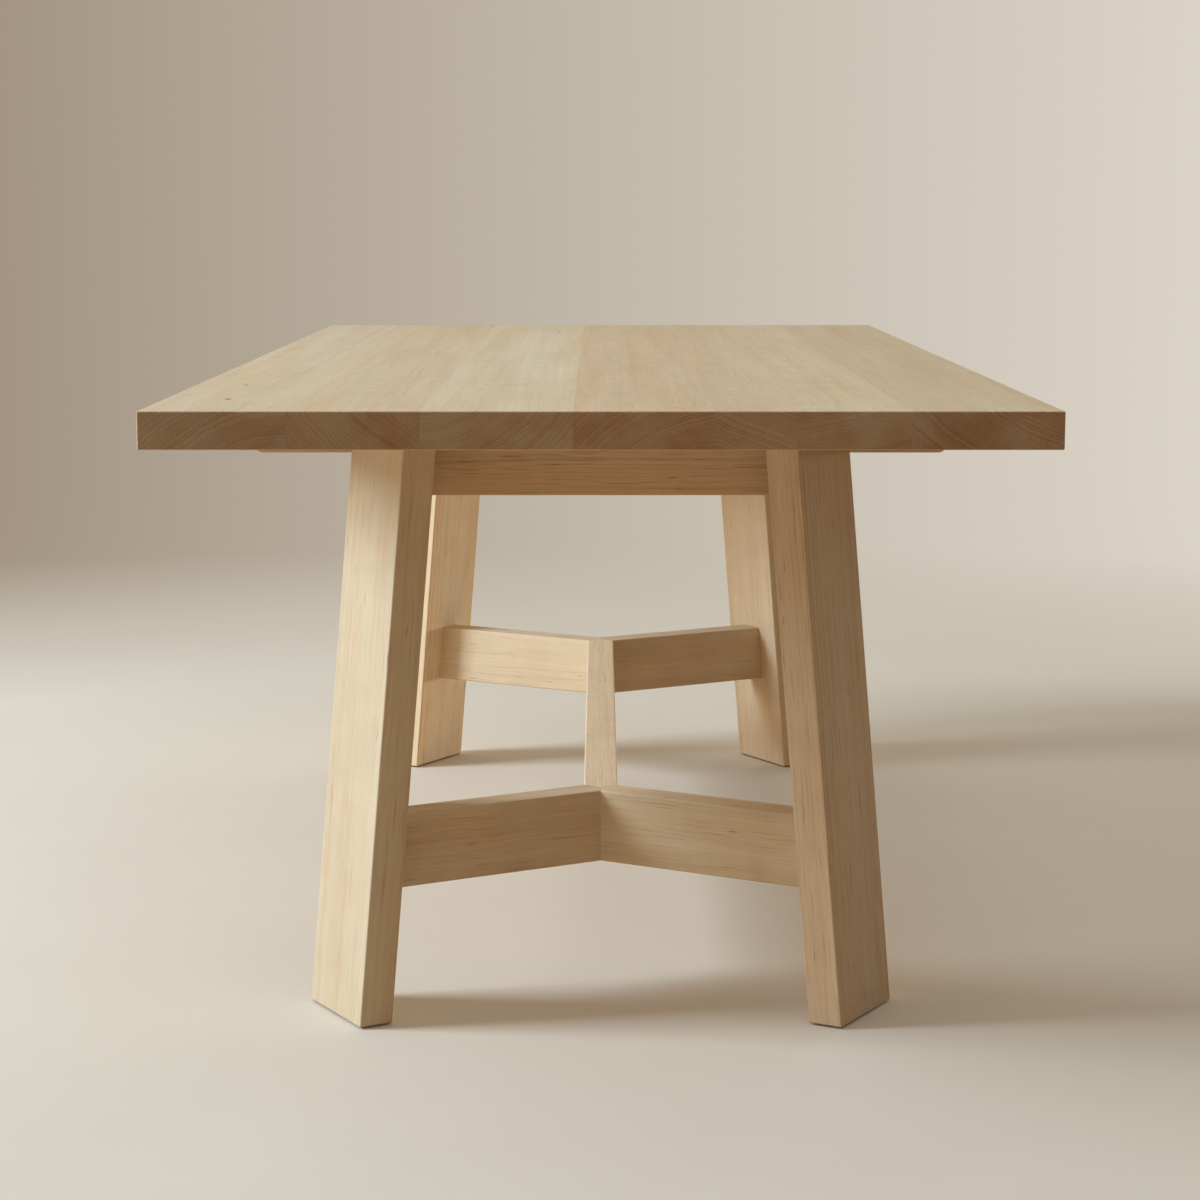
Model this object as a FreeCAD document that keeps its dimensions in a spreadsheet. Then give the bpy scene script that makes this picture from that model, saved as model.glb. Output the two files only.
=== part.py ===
import FreeCAD, Part
import Sketcher
import os

# A solid wood dining table: an edge-glued top on two trestle ends. Each end has two leaning plank legs,
# turned in plan to face the middle of the table, an apron between them and a bearer under the top.
# Two arms run from the legs to a hub, and a centre stretcher joins the two hubs.
# +Z is up, Y runs along the table, and the origin is on the floor at the middle.

doc = FreeCAD.newDocument("dining_table")
size = doc.addObject("Spreadsheet::Sheet", "Size")

# Driving sizes, in millimetres and degrees.
driving = [
    ("topLength", 2200, "length of the top, along the grain"),
    ("topWidth", 1000, "width of the top"),
    ("topThickness", 42, "thickness of the top boards"),
    ("tableHeight", 760, "floor to the upper face of the top"),
    ("firstBoard", 161, "width of the board at the left edge"),
    ("secondBoard", 144, "width of the next board"),
    ("thirdBoard", 165, "width of the next board"),
    ("fourthBoard", 153, "width of the next board"),
    ("fifthBoard", 88, "width of the next board"),
    ("sixthBoard", 124, "width of the next board, and the last board takes what is left"),
    ("topArris", 2, "radius of the eased edges of the top"),
    ("legWidth", 143, "width of a leg plank"),
    ("legThickness", 43, "thickness of a leg plank"),
    ("legLean", 5.4, "lean of a leg from upright"),
    ("splay", 30, "turn of the legs and arms in plan, from straight across"),
    ("sideOverhang", 194, "side of the top to the middle of a foot"),
    ("endOverhang", 314, "end of the top to the middle of a foot"),
    ("baseArris", 2, "radius of the eased edges of the base"),
    ("footBevel", 1.5, "bevel round the bottom of a leg"),
    ("stretcherThickness", 43, "thickness of the arms and the centre stretcher"),
    ("armHeight", 91, "height of the arms and the centre stretcher"),
    ("armBottom", 154, "floor to the underside of the arms"),
    ("apronHeight", 86, "height of an apron"),
    ("apronThickness", 43, "thickness of an apron"),
    ("bearerInset", 55, "side of the top to the end of a bearer"),
    ("bearerSetback", 3, "how far a bearer's outer face lies inside the outer corners of the legs"),
    ("bearerWidth", 90, "width of a bearer along the table"),
    ("bearerThickness", 38, "thickness of a bearer"),
    ("bevelLength", 30, "length of the bevel under each end of a bearer"),
    ("bevelHeight", 18, "height of that bevel"),
    ("fitClearance", 0.1, "room all round a tenon, dowel, glide, insert or screw"),
    ("tenonThickness", 12, "thickness of the loose tenons at the legs"),
    ("tenonDepth", 22, "depth of those tenons in each piece"),
    ("apronTenonHeight", 50, "height of the tenons of the aprons"),
    ("armTenonHeight", 56, "height of the tenons of the arms"),
    ("hubTenonThickness", 8, "thickness of the loose tenons in the hub joints"),
    ("hubTenonDepth", 10, "depth of those tenons in each piece"),
    ("hubTenonHeight", 50, "height of those tenons"),
    ("dowelRadius", 5, "radius of the dowels between apron and bearer"),
    ("dowelDepth", 20, "depth of those dowels in each piece"),
    ("dowelX", 110, "middle of the table to a dowel"),
    ("screwCount", 6, "screws that hold a bearer to the top"),
    ("screwInset", 70, "end of a bearer to its first screw"),
    ("screwRadius", 3, "radius of their shanks"),
    ("screwBite", 26, "how far they reach into the top"),
    ("screwPoint", 5, "length of their points"),
    ("screwHeadRadius", 6.5, "radius of their heads"),
    ("screwHeadHeight", 4.5, "height of their heads"),
    ("screwSocket", 2.8, "radius of the six-sided socket in their heads"),
    ("screwHole", 5, "radius of the wide holes that let the top move"),
    ("screwRecess", 16, "depth of the recesses for the heads"),
    ("screwRecessRadius", 11, "radius of those recesses"),
    ("screwWasherRadius", 10, "radius of the washers under the heads"),
    ("boltRadius", 4, "radius of the bolts between bearer and leg"),
    ("boltHeadRadius", 6.5, "radius of their heads"),
    ("boltHeadHeight", 8, "height of their heads"),
    ("boltSocket", 3.4, "radius of the six-sided socket in their heads"),
    ("boltRecess", 35, "depth of the recesses for the heads"),
    ("boltRecessRadius", 10, "radius of those recesses"),
    ("boltGrip", 17, "how far the bolts reach into the inserts"),
    ("boltWasherRadius", 8.5, "radius of the washers under the heads"),
    ("washerThickness", 1.6, "thickness of every washer"),
    ("insertRadius", 6, "radius of the threaded inserts in the legs"),
    ("insertLength", 20, "length of those inserts"),
    ("footGap", 2, "floor to the underside of a leg"),
    ("glideThickness", 5, "thickness of a foot glide"),
    ("glideRadius", 14, "radius of a foot glide"),
    ("glideBevel", 1, "bevel round the bottom of a glide"),
    ("glideScrewRadius", 2, "radius of the screw through a glide"),
    ("glideScrewHead", 4, "radius of its head"),
    ("glideScrewSunk", 1, "how far its head lies above the floor"),
    ("glideScrewLength", 24, "length of that screw"),
]

# Sizes that follow from the driving ones. Heights are from the floor, and Y counts outwards from the middle.
derived = [
    ("footX", "=topWidth / 2 - sideOverhang", "middle of the table to the middle of a foot, across"),
    ("footY", "=topLength / 2 - endOverhang", "middle of the table to the middle of a foot, along"),
    ("legTop", "=tableHeight - topThickness", "floor to the underside of the top"),
    ("leanRun", "=tan(legLean)", "how far a leg leans for each unit of height"),
    ("legDepth", "=legThickness / cos(legLean)", "thickness of a leg, measured level"),
    ("armMiddleZ", "=armBottom + armHeight / 2", "floor to the middle of the arms"),
    ("hubY", "=footY - footX * tan(splay)", "middle of the table to a hub"),
    ("footReach", "=footX / cos(splay)", "hub to the middle of a foot, along the arm"),
    ("armReach", "=footReach - leanRun * armMiddleZ - legDepth / 2", "hub to the inner face of a leg"),
    ("mitreOut", "=stretcherThickness / 2 * tan(splay)", "hub to the corner where two arms meet"),
    ("mitreIn", "=stretcherThickness / 2 * (1 - sin(splay)) / cos(splay)",
     "hub to the corner where an arm meets the stretcher"),
    ("seamOut", "=stretcherThickness / 2 / cos(splay)", "length of the seam between two arms"),
    ("seamIn", "=stretcherThickness / 2 / sin(45 + splay / 2)", "length of the seam of arm and stretcher"),
    ("legLine", "=footX * cos(splay) + footY * sin(splay)", "middle to the foot, square to the leg's face"),
    ("legCorner", "=footY + (legDepth / 2 - leanRun * legTop) * sin(splay) - legWidth / 2 * cos(splay)",
     "middle of the table to the outer corner of a leg, at its top"),
    ("bearerFace", "=legCorner - bearerSetback", "middle of the table to a bearer's outer face"),
    ("bearerLength", "=topWidth - 2 * bearerInset", "length of a bearer across the table"),
    ("bearerBottom", "=legTop - bearerThickness", "floor to the underside of a bearer"),
    ("bearerMiddleY", "=bearerFace - bearerWidth / 2", "middle of the table to the middle of a bearer"),
    ("apronMiddleY", "=bearerFace + apronThickness / 2", "middle of the table to the middle of an apron"),
    ("apronMiddleZ", "=legTop - apronHeight / 2", "floor to the middle of an apron"),
    ("apronLine", "=legLine - leanRun * apronMiddleZ - legDepth / 2",
     "middle of the table to a leg's inner face, at an apron's height"),
    ("apronEndX", "=(apronLine - apronMiddleY * sin(splay)) / cos(splay)",
     "middle of the table to the middle of an apron's end face"),
    ("boltZ", "=legTop - bearerThickness / 2", "floor to the bolts and dowels of a bearer"),
    ("boltX", "=(legLine - leanRun * boltZ - bearerFace * sin(splay)) / cos(splay)",
     "middle of the table to a bolt"),
    ("boltSeatY", "=bearerFace - bearerWidth + boltRecess", "middle to the floor of a bolt's recess"),
    ("screwSeatZ", "=bearerBottom + screwRecess", "floor to the roof of a screw's recess"),
    ("screwPitch", "=(bearerLength - 2 * screwInset) / (screwCount - 1)", "distance between those screws"),
]


def fill_sheet(rows, first):
    for row, (alias, value, note) in enumerate(rows, first):
        size.set(f"A{row}", note)
        size.set(f"B{row}", str(value))
        size.setAlias(f"B{row}", alias)


fill_sheet(driving, 1)
fill_sheet(derived, len(driving) + 1)
doc.recompute()

nodes = []
hair = 0.01
across, lengthways, up = FreeCAD.Vector(1, 0, 0), FreeCAD.Vector(0, 1, 0), FreeCAD.Vector(0, 0, 1)
ends = {"front": -1, "rear": 1}
sides = {"left": -1, "right": 1}


def value(text):
    return float(size.evalExpression(text))


def signed(sign, text):
    return f"({text})" if sign > 0 else f"-({text})"


def outward(end, side):
    """Direction from a hub to one leg, in degrees from +X."""
    turns = {(1, 1): "Size.splay", (1, -1): "180 - Size.splay",
             (-1, -1): "180 + Size.splay", (-1, 1): "360 - Size.splay"}
    return turns[ends[end], sides[side]]


def bind(thing, expressions):
    for name, text in expressions.items():
        thing.setExpression(name, text)


def place(thing, x="0", y="0", z="0", angle="0"):
    bind(thing, {"Placement.Base.x": x, "Placement.Base.y": y, "Placement.Base.z": z})
    bind(thing, {"Placement.Rotation.Angle": angle})
    return thing


def keep(thing, label):
    """Marks a finished sub-part, which is written to its own file."""
    thing.Label = label
    nodes.append(thing)
    return thing


# Helpers for bodies made from sketches.

def new_sketch(body, name, plane):
    sketch = body.newObject("Sketcher::SketchObject", name)
    support = [feature for feature in body.Origin.OriginFeatures if feature.Role == plane][0]
    sketch.AttachmentSupport = [(support, "")]
    sketch.MapMode = "FlatFace"
    return sketch


def hold_point(sketch, geometry, point, x, y):
    """Ties one point of a sketch to its two distances from the sketch's origin."""
    for kind, text in (("DistanceX", x), ("DistanceY", y)):
        rule = Sketcher.Constraint(kind, -1, 1, geometry, point, value(text))
        index = sketch.addConstraint(rule)
        sketch.setExpression(f"Constraints[{index}]", text)


def polygon(body, name, plane, *outlines):
    """A sketch of closed outlines, each a list of corners given as pairs of expressions."""
    sketch = new_sketch(body, name, plane)
    for corners in outlines:
        first = sketch.GeometryCount
        count = len(corners)
        spots = [FreeCAD.Vector(value(x), value(y), 0) for x, y in corners]
        for index, spot in enumerate(spots):
            sketch.addGeometry(Part.LineSegment(spot, spots[(index + 1) % count]))
        for index, (x, y) in enumerate(corners):
            following = first + (index + 1) % count
            sketch.addConstraint(Sketcher.Constraint("Coincident", first + index, 2, following, 1))
            hold_point(sketch, first + index, 1, x, y)
    return sketch


def circle(body, name, plane, radius, x, y):
    sketch = new_sketch(body, name, plane)
    middle = FreeCAD.Vector(value(x), value(y), 0)
    sketch.addGeometry(Part.Circle(middle, up, value(radius)))
    hold_point(sketch, 0, 3, x, y)
    index = sketch.addConstraint(Sketcher.Constraint("Radius", 0, value(radius)))
    sketch.setExpression(f"Constraints[{index}]", radius)
    return sketch


def pad(body, sketch, length, both_ways):
    feature = body.newObject("PartDesign::Pad", f"{body.Name}_pad")
    feature.Profile = sketch
    feature.SideType = "Symmetric" if both_ways else "One side"
    bind(feature, {"Length": length})
    doc.recompute()
    return feature


def pocket(body, sketch, length, both_ways=False, reverse=False):
    """Cuts a sketch out of a body, and makes sure that wood was taken away."""
    before = body.Shape.Volume
    feature = body.newObject("PartDesign::Pocket", f"{body.Name}_pocket")
    feature.Profile = sketch
    feature.SideType = "Symmetric" if both_ways else "One side"
    feature.Reversed = reverse
    bind(feature, {"Length": length})
    doc.recompute()
    if body.Shape.Volume >= before:
        raise RuntimeError(f"{body.Name}: a pocket takes nothing away")
    return feature


def edge_names(shape, wanted):
    return [f"Edge{index}" for index, edge in enumerate(shape.Edges, 1) if wanted(edge)]


def runs_along(edge, axis):
    step = edge.Vertexes[-1].Point - edge.Vertexes[0].Point
    return step.Length > 0 and step.cross(axis).Length < hair * step.Length


def edges_below(axis, height):
    """Picks the edges along an axis that lie under a height."""
    return lambda edge: runs_along(edge, axis) and edge.BoundBox.ZMax < height


def edges_longer(axis, length):
    """Picks the edges along an axis that are longer than a length."""
    return lambda edge: runs_along(edge, axis) and edge.Length > length


def ease(body, base, wanted, radius):
    """Rounds the wanted edges of a body's last feature."""
    feature = body.newObject("PartDesign::Fillet", f"{body.Name}_eased")
    feature.Base = (base, edge_names(base.Shape, wanted))
    bind(feature, {"Radius": radius})
    doc.recompute()


def turned(name, corners):
    """A body turned about its own Z axis from an outline of radius and height."""
    body = doc.addObject("PartDesign::Body", name)
    sketch = polygon(body, f"{name}_outline", "XZ_Plane", corners)
    feature = body.newObject("PartDesign::Revolution", f"{name}_turning")
    feature.Profile = sketch
    feature.ReferenceAxis = (sketch, ["V_Axis"])
    feature.Angle = 360
    doc.recompute()
    return body


# Helpers for plain blocks, pegs and joints.

def block(name, length, width, height, x, y, z, angle="0"):
    """A box with its middle at a point, its length turned by an angle in plan."""
    box = doc.addObject("Part::Box", name)
    bind(box, {"Length": length, "Width": width, "Height": height})
    corner_x = f"{x} - cos({angle}) * ({length}) / 2 + sin({angle}) * ({width}) / 2"
    corner_y = f"{y} - sin({angle}) * ({length}) / 2 - cos({angle}) * ({width}) / 2"
    return place(box, corner_x, corner_y, f"{z} - ({height}) / 2", angle)


def aim(thing, sign):
    """Turns a thing made along Z so that it points along the table, outwards from the middle."""
    thing.Placement = FreeCAD.Placement(FreeCAD.Vector(), FreeCAD.Rotation(across, -90 * sign))


def peg(name, radius, length, x, y, z, sign=0):
    """A cylinder that starts at a point and goes up, or outwards along the table if a sign is given."""
    cylinder = doc.addObject("Part::Cylinder", name)
    if sign:
        aim(cylinder, sign)
    bind(cylinder, {"Radius": radius, "Height": length})
    bind(cylinder, {"Placement.Base.x": x, "Placement.Base.y": y, "Placement.Base.z": z})
    return cylinder


def cut(label, base, rooms):
    """A piece with the rooms for its neighbours taken out."""
    tool = rooms[0]
    if len(rooms) > 1:
        tool = doc.addObject("Part::MultiFuse", f"{label}_rooms")
        tool.Shapes = rooms
    piece = doc.addObject("Part::Cut", label)
    piece.Base = base
    piece.Tool = tool
    return keep(piece, label)


def group(label, pieces):
    bundle = doc.addObject("Part::Compound", label)
    bundle.Links = pieces
    return keep(bundle, label)


def copies(label, master, spots):
    """A group of equal pieces at a list of spots: x, y, z and the sign that says where they point."""
    links = []
    for number, (x, y, z, sign) in enumerate(spots, 1):
        link = doc.addObject("App::Link", f"{label}_{number}")
        link.LinkedObject = master
        if sign:
            aim(link, sign)
        bind(link, {"Placement.Base.x": x, "Placement.Base.y": y, "Placement.Base.z": z})
        links.append(link)
    return group(label, links)


def tenon(name, length, width, height, x, y, z, angle):
    """A loose tenon, and the room that it needs in the two pieces it joins."""
    key = block(name, length, width, height, x, y, z, angle)
    spare = " + 2 * Size.fitClearance"
    room = block(f"{name}_room", length + spare, width + spare, height + spare, x, y, z, angle)
    return key, room


# Fasteners, each made once at the origin.

def socket_screw(name, head, rim, socket, shank, length, point):
    """A screw that points up, with the seat of its head at the origin."""
    corners = [("0", f"-({rim})"), (head, f"-({rim})"), (head, "0"), (shank, "0"),
               (shank, f"{length} - ({point})"), (f"{shank} / 2", length), ("0", length)]
    body = turned(name, corners)
    hexagon = [(f"({socket}) * cos({60 * k})", f"({socket}) * sin({60 * k})") for k in range(6)]
    sketch = polygon(body, f"{name}_socket", "XY_Plane", hexagon)
    sketch.setExpression("AttachmentOffset.Base.z", f"-({rim})")
    doc.recompute()
    pocket(body, sketch, f"({rim}) / 2", reverse=True)
    return body


def ring(name, bore, radius, height):
    return turned(name, [(bore, "0"), (radius, "0"), (radius, height), (bore, height)])


screw_length = "Size.washerThickness + Size.bearerThickness - Size.screwRecess + Size.screwBite"
bolt_length = "Size.washerThickness + Size.bearerWidth - Size.boltRecess + Size.boltGrip"
top_screw = socket_screw("top_screw", "Size.screwHeadRadius", "Size.screwHeadHeight", "Size.screwSocket",
                         "Size.screwRadius", screw_length, "Size.screwPoint")
leg_bolt = socket_screw("leg_bolt", "Size.boltHeadRadius", "Size.boltHeadHeight", "Size.boltSocket",
                        "Size.boltRadius", bolt_length, "Size.washerThickness")
screw_washer = ring("screw_washer", "Size.screwRadius + Size.fitClearance", "Size.screwWasherRadius",
                    "Size.washerThickness")
bolt_washer = ring("bolt_washer", "Size.boltRadius + Size.fitClearance", "Size.boltWasherRadius",
                   "Size.washerThickness")
leg_insert = ring("leg_insert", "Size.boltRadius + Size.fitClearance", "Size.insertRadius",
                  "Size.insertLength")


# Feet.

head_cone = "Size.glideScrewHead - Size.glideScrewRadius"
cone_top = f"Size.glideScrewSunk + {head_cone}"
glide_bore = "Size.glideScrewRadius + Size.fitClearance"
glide_sink = "Size.glideScrewHead + Size.fitClearance"
glide_screw_top = "Size.glideScrewSunk + Size.glideScrewLength"
glide_screw = turned("glide_screw", [
    ("0", "Size.glideScrewSunk"), ("Size.glideScrewHead", "Size.glideScrewSunk"),
    ("Size.glideScrewRadius", cone_top),
    ("Size.glideScrewRadius", f"{glide_screw_top} - Size.glideScrewRadius"), ("0", glide_screw_top)])


def foot_glide(label, x, y):
    glide = turned(label, [
        (glide_sink, "0"), ("Size.glideRadius - Size.glideBevel", "0"),
        ("Size.glideRadius", "Size.glideBevel"), ("Size.glideRadius", "Size.glideThickness"),
        (glide_bore, "Size.glideThickness"),
        (glide_bore, cone_top), (glide_sink, "Size.glideScrewSunk")])
    place(glide, x, y)
    keep(glide, label)


def foot_rooms(name, x, y):
    sunk = "Size.glideThickness - Size.footGap"
    seat = peg(f"{name}_glide_room", "Size.glideRadius + Size.fitClearance", sunk, x, y, "Size.footGap")
    hole = peg(f"{name}_screw_room", glide_bore, f"{glide_screw_top} - Size.footGap + Size.fitClearance",
               x, y, "Size.footGap")
    return [seat, hole]


# Legs.

def bevel_wedges(low, high):
    """Two outlines that bevel the bottom of a leg, between the places of its two faces at the floor end."""
    wedges = []
    for face, inward in ((low, 1), (high, -1)):
        wedges.append([(f"{face} + {inward * run} * Size.footBevel",
                        f"Size.footGap + {rise} * Size.footBevel")
                       for run, rise in ((2, -1), (-1, 2), (-1, -1))])
    return wedges


def leg_plank(name, x, y, angle):
    """A leaning plank with level ends, its broad faces square to the arm that meets it."""
    body = doc.addObject("PartDesign::Body", f"{name}_plank")
    half = "Size.legDepth / 2"
    foot, head = "Size.leanRun * Size.footGap", "Size.leanRun * Size.legTop"
    sketch = polygon(body, f"{name}_side", "XZ_Plane", [
        (f"-{half} - {foot}", "Size.footGap"), (f"{half} - {foot}", "Size.footGap"),
        (f"{half} - {head}", "Size.legTop"), (f"-{half} - {head}", "Size.legTop")])
    plank = pad(body, sketch, "Size.legWidth", True)
    long_edge = value("Size.legTop") / 2
    ease(body, plank, lambda edge: edge.Length > long_edge, "Size.baseArris")
    bevels = {"XZ_Plane": bevel_wedges(f"-{half} - {foot}", f"{half} - {foot}"),
              "YZ_Plane": bevel_wedges("-Size.legWidth / 2", "Size.legWidth / 2")}
    for plane, wedges in bevels.items():
        sketch = polygon(body, f"{name}_bevels", plane, *wedges)
        pocket(body, sketch, "2 * Size.legWidth", both_ways=True)
    return place(body, x, y, "0", angle)


# Arms and centre stretcher.

def arm(name, end, side):
    """An arm from its mitred end in the hub to the inner face of a leg."""
    body = doc.addObject("PartDesign::Body", f"{name}_rail")
    half = "Size.stretcherThickness / 2"
    far = "Size.footReach"
    mitres = ["Size.mitreIn", "Size.mitreOut"]
    if ends[end] != sides[side]:
        mitres.reverse()
    sketch = polygon(body, f"{name}_plan", "XY_Plane", [
        ("0", "0"), (mitres[0], f"-{half}"), (far, f"-{half}"), (far, half), (mitres[1], half)])
    sketch.setExpression("AttachmentOffset.Base.z", "Size.armBottom")
    rail = pad(body, sketch, "Size.armHeight", False)
    face = "Size.footReach - Size.legDepth / 2 - Size.leanRun * "
    trim = polygon(body, f"{name}_end", "XZ_Plane", [
        (f"{face}0", "0"), (f"{far} + Size.legDepth", "0"),
        (f"{far} + Size.legDepth", "Size.legTop"), (f"{face}Size.legTop", "Size.legTop")])
    fitted = pocket(body, trim, "2 * Size.stretcherThickness", both_ways=True)
    ease(body, fitted, edges_longer(across, value("Size.stretcherThickness")), "Size.baseArris")
    return place(body, "0", signed(ends[end], "Size.hubY"), "0", outward(end, side))


def centre_stretcher():
    body = doc.addObject("PartDesign::Body", "centre_stretcher_rail")
    half = "Size.stretcherThickness / 2"
    shoulder = "Size.hubY - Size.mitreIn"
    sketch = polygon(body, "centre_stretcher_plan", "XY_Plane", [
        ("0", "-Size.hubY"), (half, f"-({shoulder})"), (half, shoulder),
        ("0", "Size.hubY"), (f"-{half}", shoulder), (f"-{half}", f"-({shoulder})")])
    sketch.setExpression("AttachmentOffset.Base.z", "Size.armBottom")
    rail = pad(body, sketch, "Size.armHeight", False)
    ease(body, rail, edges_longer(lengthways, value("Size.hubY")), "Size.baseArris")
    return body


# Aprons and bearers, drawn with their outer face towards +Y and turned round for the front end.

def half_turn(end):
    return "0" if ends[end] > 0 else "180"


def apron(name, end):
    """An apron with plain ends, long enough to run into both legs."""
    body = doc.addObject("PartDesign::Body", f"{name}_rail")
    half = "(Size.apronEndX + Size.legDepth + Size.apronThickness)"
    sketch = polygon(body, f"{name}_front", "XZ_Plane", [
        (f"-{half}", "Size.legTop - Size.apronHeight"), (half, "Size.legTop - Size.apronHeight"),
        (half, "Size.legTop"), (f"-{half}", "Size.legTop")])
    rail = pad(body, sketch, "Size.apronThickness", True)
    ease(body, rail, edges_below(across, value("Size.apronMiddleZ")), "Size.baseArris")
    return place(body, "0", signed(ends[end], "Size.apronMiddleY"), "0", half_turn(end))


def beyond_leg(name, x, y, angle):
    """Everything outside the inner face of a leg, to trim the end of an apron."""
    body = doc.addObject("PartDesign::Body", f"{name}_outside")
    inner = "-Size.legDepth / 2 - Size.leanRun * "
    far, roof = "Size.legWidth + Size.apronThickness", "Size.tableHeight"
    sketch = polygon(body, f"{name}_trim", "XZ_Plane", [
        (f"{inner}0", "0"), (far, "0"), (far, roof), (f"{inner}{roof}", roof)])
    pad(body, sketch, f"2 * ({far})", True)
    return place(body, x, y, "0", angle)


def bearer(name, end):
    """A bearer with bevelled ends, and a row of recessed screw holes in its underside."""
    body = doc.addObject("PartDesign::Body", f"{name}_rail")
    tip, heel = "Size.bearerLength / 2", "(Size.bearerLength / 2 - Size.bevelLength)"
    low, rise, high = "Size.bearerBottom", "Size.bearerBottom + Size.bevelHeight", "Size.legTop"
    sketch = polygon(body, f"{name}_front", "XZ_Plane", [
        (f"-{heel}", low), (heel, low), (tip, rise), (tip, high), (f"-{tip}", high), (f"-{tip}", rise)])
    rail = pad(body, sketch, "Size.bearerWidth", True)
    ease(body, rail, edges_below(across, value(low) + hair), "Size.baseArris")
    first = "-Size.screwPitch * (Size.screwCount - 1) / 2"
    wide = circle(body, f"{name}_recess", "XY_Plane", "Size.screwRecessRadius", first, "0")
    recess = pocket(body, wide, "Size.screwSeatZ", reverse=True)
    narrow = circle(body, f"{name}_hole", "XY_Plane", "Size.screwHole", first, "0")
    hole = pocket(body, narrow, "Size.legTop", reverse=True)
    row = body.newObject("PartDesign::LinearPattern", f"{name}_row")
    row.Originals = [recess, hole]
    row.Direction = (wide, ["H_Axis"])
    bind(row, {"Length": "Size.screwPitch * (Size.screwCount - 1)", "Occurrences": "Size.screwCount"})
    body.Tip = row
    doc.recompute()
    return place(body, "0", signed(ends[end], "Size.bearerMiddleY"), "0", half_turn(end))


# Rooms and loose pieces that two or more sub-parts share.

apron_tenons, arm_tenons, hub_tenons, apron_dowels = [], [], [], []
apron_rooms, arm_rooms, hub_rooms, dowel_rooms = {}, {}, {}, {}
corners = [(end, side) for end in ends for side in sides]


def corner_spot(end, side):
    return signed(sides[side], "Size.footX"), signed(ends[end], "Size.footY"), outward(end, side)


for end, side in corners:
    name = f"{end}_{side}"
    angle = outward(end, side)
    hub = signed(ends[end], "Size.hubY")
    key, room = tenon(f"apron_tenon_{name}", "2 * Size.tenonDepth", "Size.tenonThickness",
                      "Size.apronTenonHeight", signed(sides[side], "Size.apronEndX"),
                      signed(ends[end], "Size.apronMiddleY"), "Size.apronMiddleZ", angle)
    apron_tenons.append(key)
    apron_rooms[end, side] = room
    key, room = tenon(f"arm_tenon_{name}", "2 * Size.tenonDepth", "Size.tenonThickness",
                      "Size.armTenonHeight", f"cos({angle}) * Size.armReach",
                      f"{hub} + sin({angle}) * Size.armReach", "Size.armMiddleZ", angle)
    arm_tenons.append(key)
    arm_rooms[end, side] = room
    dowel_spot = (signed(sides[side], "Size.dowelX"),
                  signed(ends[end], "Size.bearerFace - Size.dowelDepth"), "Size.boltZ", ends[end])
    dowel = peg(f"apron_dowel_{name}", "Size.dowelRadius", "2 * Size.dowelDepth", *dowel_spot)
    apron_dowels.append(dowel)
    dowel_rooms[end, side] = peg(f"dowel_room_{name}", "Size.dowelRadius + Size.fitClearance",
                                 "2 * Size.dowelDepth", *dowel_spot)

for end, sign in ends.items():
    hub = signed(sign, "Size.hubY")
    seams = {"arms": (f"{90 * sign}", "Size.seamOut"),
             "right": (signed(sign, "Size.splay / 2 - 45"), "Size.seamIn"),
             "left": (f"180 - {signed(sign, 'Size.splay / 2 - 45')}", "Size.seamIn")}
    hub_rooms[end] = []
    for seam, (angle, reach) in seams.items():
        key, room = tenon(f"hub_tenon_{end}_{seam}", "Size.hubTenonThickness", "2 * Size.hubTenonDepth",
                          "Size.hubTenonHeight", f"cos({angle}) * {reach} / 2",
                          f"{hub} + sin({angle}) * {reach} / 2", "Size.armMiddleZ", angle)
        hub_tenons.append(key)
        hub_rooms[end].append(room)


# The base.

for end, side in corners:
    name = f"{end}_{side}"
    sx, sy = sides[side], ends[end]
    foot_x, foot_y, angle = corner_spot(end, side)
    notch = block(f"leg_{name}_notch", "Size.bearerLength", "Size.bearerWidth", "Size.bearerThickness",
                  "0", signed(sy, "Size.bearerMiddleY"), "Size.boltZ")
    insert_room = peg(f"leg_{name}_insert_room", "Size.insertRadius + Size.fitClearance",
                      "Size.insertLength + Size.fitClearance", signed(sx, "Size.boltX"),
                      signed(sy, "Size.bearerFace"), "Size.boltZ", sy)
    rooms = [notch, insert_room, apron_rooms[end, side], arm_rooms[end, side]]
    rooms += foot_rooms(f"leg_{name}", foot_x, foot_y)
    cut(f"leg_{name}", leg_plank(f"leg_{name}", foot_x, foot_y, angle), rooms)
    cut(f"arm_{name}", arm(f"arm_{name}", end, side), [arm_rooms[end, side]] + hub_rooms[end])
    foot_glide(f"foot_glide_{name}", foot_x, foot_y)

cut("centre_stretcher", centre_stretcher(), hub_rooms["front"] + hub_rooms["rear"])

for end, sign in ends.items():
    trims = [beyond_leg(f"apron_{end}_{side}", *corner_spot(end, side)) for side in sides]
    joints = [rooms[end, side] for rooms in (apron_rooms, dowel_rooms) for side in sides]
    cut(f"apron_{end}", apron(f"apron_{end}", end), trims + joints)
    bores = [dowel_rooms[end, side] for side in sides]
    inner_edge = signed(sign, "Size.bearerFace - Size.bearerWidth")
    for side, sx in sides.items():
        name = f"bearer_{end}_{side}"
        spot = signed(sx, "Size.boltX"), inner_edge, "Size.boltZ", sign
        bores.append(peg(f"{name}_recess", "Size.boltRecessRadius", "Size.boltRecess", *spot))
        bores.append(peg(f"{name}_bore", "Size.boltRadius + Size.fitClearance", "Size.bearerWidth", *spot))
    cut(f"bearer_{end}", bearer(f"bearer_{end}", end), bores)

group("apron_tenons", apron_tenons)
group("arm_tenons", arm_tenons)
group("hub_tenons", hub_tenons)
group("apron_dowels", apron_dowels)


# The top.

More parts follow.
